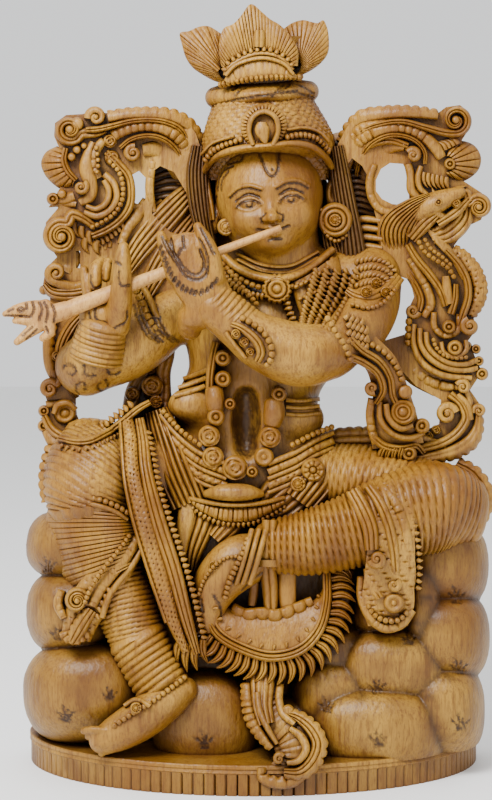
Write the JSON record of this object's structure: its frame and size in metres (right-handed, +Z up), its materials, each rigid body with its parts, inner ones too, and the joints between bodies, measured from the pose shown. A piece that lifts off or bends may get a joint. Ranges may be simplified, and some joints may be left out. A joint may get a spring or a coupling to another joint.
{
  "type": "krishna figure",
  "caption": "Carved wooden krishna figure seated on rocks over an oval plinth, between pierced scrollwork, playing a loose flute that runs through the hands.",
  "frame": {"origin": "centre of the plinth's underside, on the surface that the figure stands on", "axes": "+Z up, +Y towards the figure's back (it faces -Y), +X towards the viewer's right"},
  "size_m": [0.3877, 0.16, 0.6127],
  "materials": {
    "carved_wood": "light golden wood with a thin brown stain left in the recesses, satin wax",
    "flute_wood": "paler pinkish wood, satin"
  },
  "bodies": {
    "root": {"statue": "carved_wood", "flute": "flute_wood"}
  },
  "joints": []
}
